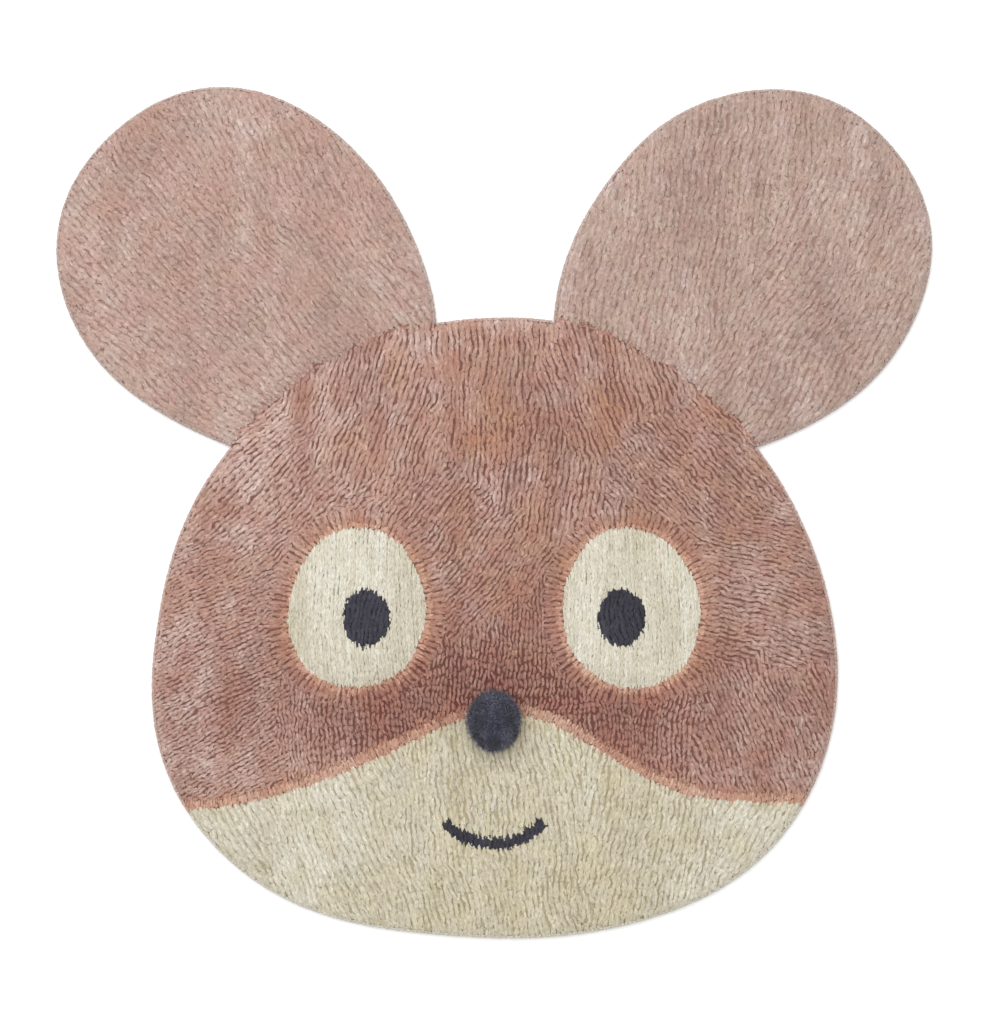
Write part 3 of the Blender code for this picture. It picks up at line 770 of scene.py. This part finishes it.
def growLocks(rows, field, seed):
    # what each lock of these rows is: its foot, cut end and the ways it faces, and its tuft colour
    rng = default_rng(seed)
    place, run, gap, side = rows["place"], rows["run"], rows["gap"], rows["side"]
    count, turned = len(place), rows["turned"][:, None]
    place = place + leftOf(run) * rows["shifted"][:, None]
    run = run * np.cos(turned) + leftOf(run) * np.sin(turned)
    across = leftOf(run)
    ruffled = shareOf(field, pile["loosely"])
    middle, over = zonesOf(place, field)
    relief = shareOf(field, pile["relief"]) + pile["zoneRelief"][0] * middle + pile["zoneRelief"][1] * over
    opening = pile["leastOpen"] + (1 - pile["leastOpen"]) * relief
    ended = rows["ended"] * opening * (1 + pile["overEnded"] * over)
    opened = rows["opened"] * opening * (1 + pile["overOpen"] * over)
    end = place - across * (side * opened * gap * pile["pull"])[:, None]
    end = end - run * (ended * rows["step"] * pile["endPull"])[:, None]
    outward = outOf(depthInRug, end)
    inRim = np.clip(1 - depthInRug(end) / rim["wide"], 0, rim["steepest"])
    fall = (rim["high"] - rim["edgeHigh"]) / rim["wide"] * inRim / np.sqrt(1 - inRim ** 2)
    slope = side * (pile["slope"] * relief + pile["openSlope"] * opened) * (1 - inRim)
    lift = outward * fall[:, None] + across * slope[:, None] + run * (ended * pile["endSlope"])[:, None]
    lift = lift + rng.normal(0, pile["tilt"], (count, 2)) * ruffled[:, None]
    up = unit(np.column_stack([lift, np.ones(count)]))
    crown = (pile["crown"] * relief + pile["tuck"] * opened) * np.abs(side) + pile["endTuck"] * np.abs(ended)
    rough = rows["level"] * pile["ridgeUneven"] + rng.normal(0, pile["uneven"], count) * ruffled
    low = np.where(np.char.endswith(field, "Rows"), pile["low"], 0.0)
    top = cadTop(end)
    high = top - pile["under"] - crown * (1 - inRim) - low + rough * (1 - rim["calm"] * inRim)
    high = np.maximum(high, pile["leastHigh"] * top)
    end = np.column_stack([end, high])
    foot = end - up * (top * pile["foot"])[:, None]
    foot[:, :2] -= run * (rows["lean"] * (1 - inRim))[:, None]
    foot[:, 2] = np.clip(foot[:, 2], pile["least"], np.maximum(high - pile["leastLong"], pile["least"]))
    turn = (rng.normal(0, pile["twist"], count) * ruffled)[:, None]
    # shade scales the painted shade of ridges' sides and clumps' ends: less at the rim, more over the muzzle
    shade = (1 - rim["shadeCalm"] * inRim) * (1 + pile["overShaded"] * over)
    light, warm, rosy = tonesOf(place, field, rng)
    light = light + lockTones["ridge"] * rows["tone"] + lockTones["clump"] * rows["clumpTone"]
    # a painted highlight on the ridges' crest rows and painted shade on their side rows
    light = light + lockTones["crest"] * relief * (lockTones["crestFrom"] - np.abs(side))
    return {
        "foot": foot, "end": end, "up": up,
        "along": np.column_stack([run * np.cos(turn) + across * np.sin(turn), np.zeros(count)]),
        "halfLong": rows["step"] * pile["longEnd"] * (1 - pile["endShort"] * np.abs(ended)),
        "halfWide": gap * pile["wideEnd"], "light": np.clip(light, 0, 1), "warm": warm, "rosy": rosy,
        "shaded": side * (pile["shaded"] * relief + pile["openShaded"] * opened) * shade,
        "shadedEnd": ended * pile["openShaded"] * shade,
    }


# a lock's faces over its points: its foot, a ring round its cut end, and the cut end's middle
lockSides = 4
ringPoints = [(side + 1, (side + 1) % lockSides + 1) for side in range(lockSides)]
lockFaces = np.array([(0, b, a) for a, b in ringPoints] + [(lockSides + 1, a, b) for a, b in ringPoints])
lockLook = {
    "turned": 0.2, "least": 0.88, "most": 1.14,  # its corners: how far round (radians) and how far out
    "hidden": 0.95, "crestHidden": 0.3,  # how far its shaded corners and its middle take the root colour, a painted shade
    "sharpFrom": math.radians(60),  # the edge of its cut end is steeper than this, and shows sharp
}
bakeCell = {"margin": 0.04, "fanWide": 0.22, "fanTall": 0.46}  # of a cell of the bake map


def lockCell():
    # where each corner of a lock's faces lies in its own cell of the bake map: two fans, side by side
    corners = []
    for fan, ends in ((0.25, (1, 0)), (0.75, (0, 1))):
        for side in range(lockSides):
            corners.append([(fan, 0.5)])
            for end in ends:
                turn = 2 * math.pi * (side + end) / lockSides
                wide, tall = bakeCell["fanWide"] * math.cos(turn), bakeCell["fanTall"] * math.sin(turn)
                corners[-1].append((fan + wide, 0.5 + tall))
    return np.array(corners)


def lockPiece(name, wool, locks, seed):
    # joins the locks of one piece into one mesh
    rng = default_rng(seed)
    count, up = len(locks["foot"]), locks["up"]
    along = unit(locks["along"] - up * (locks["along"] * up).sum(1)[:, None])
    across = np.cross(up, along)
    points, strand = np.zeros((2, count, lockSides + 2, 3))
    tuft = np.ones((count, lockSides + 2, 4))
    points[:, 0], points[:, -1] = locks["foot"], locks["end"]
    phase = math.pi / lockSides + rng.normal(0, lockLook["turned"], count)
    for corner in range(lockSides):
        turn = phase + corner * 2 * math.pi / lockSides
        far = rng.uniform(lockLook["least"], lockLook["most"], (count, 1))
        reach = far * np.stack([np.cos(turn) * locks["halfLong"], np.sin(turn) * locks["halfWide"]], 1)
        spoke = along * reach[:, :1] + across * reach[:, 1:]
        points[:, corner + 1] = locks["end"] - up * pile["dome"] + spoke
        # corners towards a ridge's side or a clump's end take the root colour as painted shade
        hidden = np.maximum([np.sin(turn) * locks["shaded"], np.cos(turn) * locks["shadedEnd"]], 0).sum(0)
        tuft[:, corner + 1, 2] = 1 - np.clip(lockLook["hidden"] * hidden, 0, 1)
        strand[:, corner + 1, :2] = reach / (woolLook["strandLong"], 1)
    points[..., 2] = np.maximum(points[..., 2], 0.0)
    strand += rng.uniform(-1, 1, (count, 1, 3))
    tuft[..., 0], tuft[..., 1], tuft[..., 3] = (locks[key][:, None] for key in ("light", "warm", "rosy"))
    # a lock's foot takes the root colour fully, a painted shade; the middle of its cut end a little, on a
    # side
    tuft[:, 0, 2] = 0.0
    tuft[:, -1, 2] = 1 - lockLook["crestHidden"] * np.abs(locks["shaded"])
    faces = lockFaces[None] + np.arange(count)[:, None, None] * (lockSides + 2)
    made = addObject(name, points, faces, wools[wool], tuft, strand)
    made.data.set_sharp_from_angle(angle=lockLook["sharpFrom"])
    cells = math.ceil(math.sqrt(count))
    cell = np.stack([np.arange(count) % cells, np.arange(count) // cells], 1)[:, None, None]
    spots = (cell + bakeCell["margin"] + (1 - 2 * bakeCell["margin"]) * lockCell()[None]) / cells
    made.data.uv_layers.new(name="OFBake").data.foreach_set("uv", spots.ravel())
    return made


pileParts = {  # piece: its wool, its fields and, for the head, which stretch of x
    "earPileLeft": ("ear", ("earLeft",), None), "earPileRight": ("ear", ("earRight",), None),
    "headPileLeft": ("head", ("head", "seamRows", "eyeLeftHalo"), (-1.0, -0.13)),
    "headPileMiddle": ("head", ("head", "seamRows", "eyeLeftHalo", "eyeRightHalo"), (-0.13, 0.13)),
    "headPileRight": ("head", ("head", "seamRows", "eyeRightHalo"), (0.13, 1.0)),
    "muzzlePile": ("cream", ("muzzle",), None),
    "eyePileLeft": ("cream", ("eyeLeft",), None), "eyePileRight": ("cream", ("eyeRight",), None),
    "borderPile": ("border", ("eyeLeftRows", "eyeRightRows", "muzzleRows"), None),
    "pupilPile": ("dark", ("pupilLeft", "pupilRight"), None), "mouthPile": ("dark", ("mouth",), None),
}


def makePile():
    found = []
    for number, (rows, fields) in enumerate(allRows()):
        rng = default_rng(900 + number)
        rows = only(rows, depthInRug(rows["place"]) > pile["start"])
        field = fieldOf(rows["place"], rng.normal(0, pile["ragged"], len(rows["place"])))
        mine = np.isin(field, fields)
        found.append({"field": field[mine], **growLocks(only(rows, mine), field[mine], 1000 + number)})
    locks = joined(found)
    made = []
    for number, (name, (wool, fields, stretch)) in enumerate(pileParts.items()):
        mine = np.isin(locks["field"], fields)
        if stretch:
            mine &= (locks["end"][:, 0] >= stretch[0]) & (locks["end"][:, 0] < stretch[1])
        made.append(lockPiece(name, wool, only(locks, mine), 200 + number))
        print("pile:", name, int(mine.sum()), "locks,", facesIn(made[-1:]), "faces")
    return made


rimTiers = {  # rows of locks round the turned-down rim: how far in and how high (mm), and their outward turn
    "rows": ((1.7, 8.9, 52), (0.45, 6.7, 70), (0.0, 4.5, 90), (0.9, 2.3, 104)),
    "inUneven": 0.3 * mm, "highUneven": 0.25 * mm,
    "step": 3.5 * mm, "loose": 0.3,  # along the rim, and how far off, of the step
    "halfLong": 2.5 * mm, "halfWide": 2.4 * mm, "deep": 6 * mm,
    "fieldIn": 8 * mm,  # how far inside the rim their field is
    "light": (0.62, 0.07), "warm": (0.05, 0.05),  # its middle and its spread; lighter than the pile, a painted sheen where it turns down, and less warm in hue
    "wools": ("head", "ear", "cream", "border"),
}


def makeRim():
    ring = edgePoints(rimTiers["step"])
    outward = outOf(depthInRug, ring)
    count, loose = len(ring), rimTiers["loose"]
    flat, lift = np.column_stack([outward, np.zeros(count)]), np.array([0.0, 0.0, 1.0])
    grown = []
    for number, (inset, high, faces) in enumerate(rimTiers["rows"]):
        rng = default_rng(61 + number)
        aside = (number % 2) / 2 + rng.uniform(-loose, loose, (count, 1))
        edge = ring + leftOf(outward) * aside * rimTiers["step"]
        inset = inset * mm + rng.uniform(-1, 1, (count, 1)) * rimTiers["inUneven"]
        high = high * mm + rng.normal(0, rimTiers["highUneven"], count)
        end = np.column_stack([edge - outward * inset, high])
        cos, sin = math.cos(math.radians(faces)), math.sin(math.radians(faces))
        up = unit(flat * sin + lift * cos + rng.normal(0, pile["tilt"], (count, 3)))
        foot = end - up * rimTiers["deep"]
        foot[:, 2] = np.maximum(foot[:, 2], pile["least"])
        light, warm = (
            np.clip(middle + spread * rng.normal(0, 1, count), 0, 1)
            for middle, spread in (rimTiers["light"], rimTiers["warm"])
        )
        grown.append({
            "wool": np.array([woolOf(field) for field in fieldOf(edge - outward * rimTiers["fieldIn"])]),
            "foot": foot, "end": end, "up": up, "along": flat * cos - lift * sin,
            **{key: np.full(count, rimTiers[key]) for key in ("halfLong", "halfWide")},
            "light": light, "warm": warm, **dict.fromkeys(("rosy", "shaded", "shadedEnd"), np.zeros(count)),
        })
    locks = joined(grown)
    return [
        lockPiece(wool + "Rim", wool, only(locks, locks["wool"] == wool), 300 + number)
        for number, wool in enumerate(rimTiers["wools"])
    ]


pompom = {
    "skin": 1.4 * mm, "clear": 0.2 * mm,  # how far the wound yarn lies in, and off the pile
    "lump": 0.95 * mm, "lumpPitch": 12 * mm, "stretch": (0.97, 1.03, 1.0),
    "cleft": (-0.66, -0.50, 0.56, 0.22), "cleftDeep": 7.0 * mm,  # a notch between windings: direction, width
    "cleftShort": 0.6, "cleftHidden": 0.95,  # how much shorter the fibres are in it, and how much painted shade they take there
    "patches": (  # directions and widths of lighter and darker patches, and by how much: a painted highlight on top, painted shade on the left and in the cleft, a lighter patch low on the right
        (-0.10, 0.35, 0.92, 0.42, 0.22), (-0.62, 0.05, 0.78, 0.35, -0.25), (0.35, -0.45, 0.82, 0.42, 0.14),
        (-0.66, -0.50, 0.56, 0.26, -0.60),
    ),
    "fibres": 9000, "fibreLong": 2.9 * mm, "fibreWide": 0.60 * mm, "fibreDeep": 1.0 * mm,
    "uneven": (0.75, 1.15), "flyaways": 0.30, "flyawayLong": 2.7,  # a share of them is this much longer
    "fibreLean": 0.80, "leastRise": 0.15,
    "light": 0.46, "tone": 0.50, "fibreTone": 0.40, "tonePitch": 5 * mm, "toneWays": (1.0, 0.45),
    # the fibres' feet (rootShown) and the darker core take much of the root colour: painted shade under the
    # fuzz
    "warm": 0.1, "rosy": 0.1, "rootShown": 0.1,
    "coreTuft": (0.20, 0.0, 0.3, 0.0),
}


def makePompom():
    low, high = (np.array(corner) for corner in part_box("nose_pompom"))
    middle, half = (low + high) / 2, (high - low) / 2
    middle[2] = high[2] - half[:2].mean()
    half[2] = high[2] - middle[2]
    half = half * pompom["stretch"]
    rng = default_rng(71)

    def near(ways, spot):
        # how near each direction is to a spot on the ball
        away = np.linalg.norm(ways - unit(np.array([spot[:3]])), axis=1)
        return np.exp(-(away / spot[3]) ** 2)

    def mottle(ways, pitch, seed, stretch=1.0):
        # smooth unevenness over the ball, from above and from one side
        seen = ways * half[0]
        return softNoise(seen[:, :2] * stretch, pitch, seed) + softNoise(seen[:, 1:], pitch, seed + 1)

    def skin(ways, proud):
        # the lumpy outside of the ball in each direction, with one cleft where two windings part
        lumps = mottle(ways, pompom["lumpPitch"], 72) * pompom["lump"]
        reach = 1 + (lumps - near(ways, pompom["cleft"]) * pompom["cleftDeep"]) / half.mean()
        points = middle + ways * (half - pompom["skin"]) * reach[:, None] + ways * proud
        points[:, 2] = np.maximum(points[:, 2], low[2] + pompom["clear"])
        return points

    ball = bmesh.new()
    bmesh.ops.create_icosphere(ball, subdivisions=4, radius=1.0)
    ways = np.array([vert.co.normalized() for vert in ball.verts])
    faces = np.array([[vert.index for vert in face.verts] for face in ball.faces])
    ball.free()
    core = addObject("pompomCore", skin(ways, 0.0), faces, wools["pompom"], pompom["coreTuft"])

    # the fibres' roots, spread evenly over the ball along a golden spiral
    count = pompom["fibres"]
    turn = np.arange(count) * math.pi * (3 - math.sqrt(5))
    rise = 1 - 2 * (np.arange(count) + 0.5) / count
    wide = np.sqrt(1 - rise ** 2)
    ways = np.stack([wide * np.cos(turn), wide * np.sin(turn), rise], 1)
    inCleft = near(ways, pompom["cleft"])[:, None]
    foot = skin(ways, -pompom["fibreDeep"])
    lean = unit(ways + rng.normal(0, pompom["fibreLean"], (count, 3)))
    flat = (lean * ways).sum(1) < pompom["leastRise"]
    lean[flat] = ways[flat]
    long = np.where(rng.uniform(0, 1, (count, 1)) < pompom["flyaways"], pompom["flyawayLong"], 1.0)
    long = pompom["fibreLong"] * long * (1 - pompom["cleftShort"] * inCleft)
    end = foot + lean * long * rng.uniform(*pompom["uneven"], (count, 1))
    end[:, 2] = np.maximum(end[:, 2], low[2])
    side = unit(np.cross(lean, rng.normal(0, 1, (count, 3))))
    other = np.cross(lean, side)
    points = np.zeros((count, 4, 3))
    for corner in range(3):
        angle = corner * 2 * math.pi / 3
        points[:, corner] = foot + (side * math.cos(angle) + other * math.sin(angle)) * pompom["fibreWide"]
    points[:, 3] = end
    faces = np.array([(0, 2, 1), (0, 1, 3), (1, 2, 3), (2, 0, 3)])[None] + np.arange(count)[:, None, None] * 4
    patches = mottle(ways, pompom["tonePitch"], 74, pompom["toneWays"])
    light = pompom["light"] + pompom["tone"] * patches + pompom["fibreTone"] * rng.normal(0, 1, count)
    # a painted highlight on the top, painted shade on the left and in the cleft
    for *spot, change in pompom["patches"]:
        light = light + change * near(ways, spot)
    tuft = np.ones((count, 4, 4))
    tuft[..., 0] = np.clip(light, 0, 1)[:, None]
    tuft[..., 1], tuft[..., 3] = pompom["warm"], pompom["rosy"]
    # painted shade in the cleft and at the fibres' feet
    tuft[..., 2] = 1 - pompom["cleftHidden"] * inCleft
    tuft[:, :3, 2] = pompom["rootShown"]
    fuzz = addObject("pompomFuzz", points, faces, wools["pompom"], tuft)
    for piece in (core, fuzz):
        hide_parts("nose_pompom")
    return core, fuzz


studio = {
    "viewTall": 1.2829, "lens": 85.0, "sensor": 36.0, "aim": (0.0075, 0.0006), "aimHigh": 15 * mm,
    "sky": 0.72, "lampPower": 90.0, "lampWide": 3.2, "lampPlace": (-0.5, 1.0, 2.9), "floor": "#f8f8f7",
    "floorHalf": 6.0, "floorDrop": 0.4 * mm,
}


def makeStudio():
    scene = bpy.context.scene
    made, tree = newMaterial("matt white paper")
    surface = addNode(tree, "BsdfPrincipled", {"Base Color": fromHex(studio["floor"]), "Roughness": 0.9})
    addNode(tree, "OutputMaterial", links={"Surface": surface})
    half = studio["floorHalf"]
    corners = [(-half, -half, 0), (half, -half, 0), (half, half, 0), (-half, half, 0)]
    floor = addObject("floor", corners, [(0, 1, 2, 3)], made)
    floor.location.z = -studio["floorDrop"]

    camera = bpy.data.objects.new("camera", bpy.data.cameras.new("camera"))
    camera.data.lens, camera.data.sensor_width = studio["lens"], studio["sensor"]
    away = studio["viewTall"] / 2 / (studio["sensor"] / 2 / studio["lens"])
    camera.location = (*studio["aim"], away + studio["aimHigh"])
    scene.collection.objects.link(camera)
    scene.camera = camera

    lamp = bpy.data.objects.new("softbox", bpy.data.lights.new("softbox", "AREA"))
    lamp.data.size, lamp.data.energy = studio["lampWide"], studio["lampPower"]
    lamp.location = studio["lampPlace"]
    lamp.rotation_euler = Vector(studio["lampPlace"]).to_track_quat("Z", "Y").to_euler()
    scene.collection.objects.link(lamp)

    scene.world = bpy.data.worlds.new("white studio")
    scene.world.use_nodes = True
    sky = scene.world.node_tree.nodes["Background"].inputs
    sky["Strength"].default_value, sky["Color"].default_value = studio["sky"], (1, 1, 1, 1)
    scene.view_settings.view_transform = "Standard"


cloth = makeGround()
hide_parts("rug")
packed = makePacked()
print("ground cloth and packed pile:", facesIn((cloth, *packed)), "faces")
locks = makePile()
edging = makeRim()
print("rim:", facesIn(edging), "faces")
ball = makePompom()
print("pompom:", facesIn(ball), "faces")
pieces = [cloth, *packed, *locks, *edging, *ball]
for piece in pieces:
    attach(piece, "root")
print("all pieces:", facesIn(pieces), "faces")
makeStudio()
